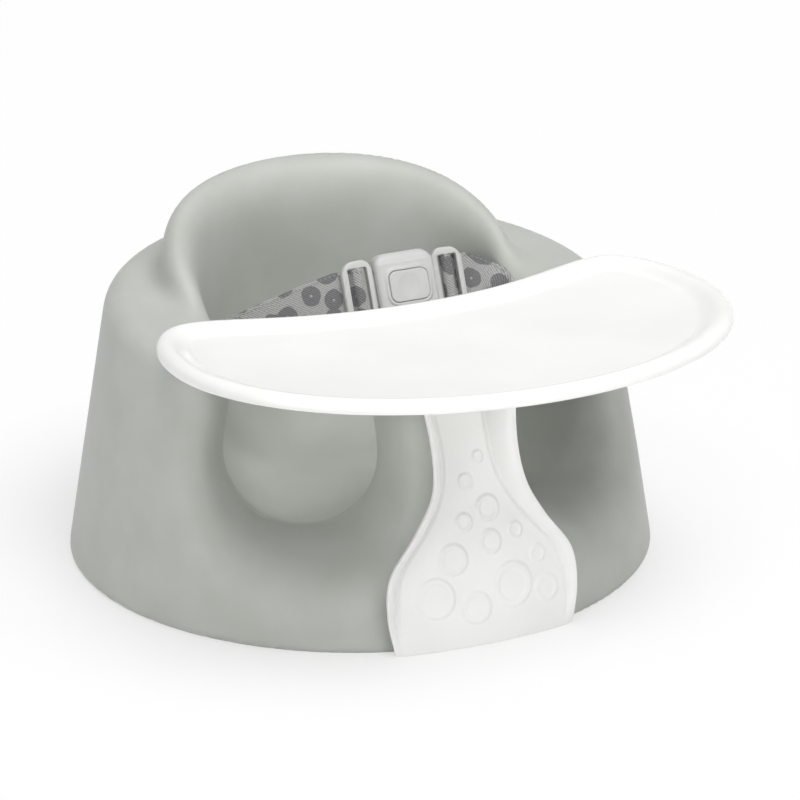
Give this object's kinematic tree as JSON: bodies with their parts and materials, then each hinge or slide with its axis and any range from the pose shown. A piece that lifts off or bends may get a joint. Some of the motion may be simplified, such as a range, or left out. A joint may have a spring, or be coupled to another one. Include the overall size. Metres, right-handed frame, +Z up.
{
  "type": "baby floor seat",
  "caption": "Moulded foam floor seat for a baby, with leg openings, a lap belt with a push-button buckle and a play tray that slides on over the pommel.",
  "frame": {"origin": "middle of the base, on the floor", "axes": "+Z up; the child faces -Y; +X is the child's left; the tray slides off towards -Y"},
  "size_m": [0.3798, 0.4694, 0.2232],
  "materials": {
    "foam": "satin skin",
    "webbing": "woven",
    "buckle": "satin",
    "tray": "gloss",
    "stem": "satin",
    "nylon": "satin",
    "steel": "plated"
  },
  "bodies": {
    "seat": {"seat_body": "foam", "anchor_bushes": "nylon", "anchor_washers": "steel", "anchor_screws": "steel", "strap_left": "webbing", "strap_right": "webbing", "buckle_back_shell": "buckle", "buckle_front_shell": "buckle", "button_spring": "steel", "strap_frame_right": "buckle"},
    "tray": {"tray_top": "tray", "tray_stem": "stem", "tray_screws": "steel"},
    "tongue": {"tongue_left": "buckle"},
    "button": {"release_button": "buckle", "latch_plate": "nylon"}
  },
  "joints": [
    {"name": "tray_slide", "type": "slide", "parent": "seat", "child": "tray", "axis": [0, -1, 0], "range_m": [0, 0.12]},
    {"name": "tongue_release", "type": "slide", "parent": "seat", "child": "tongue", "axis": [-1, 0, 0], "range_m": [0, 0.022], "deforming": ["strap_left"]},
    {"name": "button_press", "type": "slide", "parent": "seat", "child": "button", "axis": [0, 0.9171, -0.3987], "range_m": [0, 0.0022], "stiffness_N_per_m": 800, "springref_m": -0.0025, "deforming": ["button_spring"]}
  ]
}
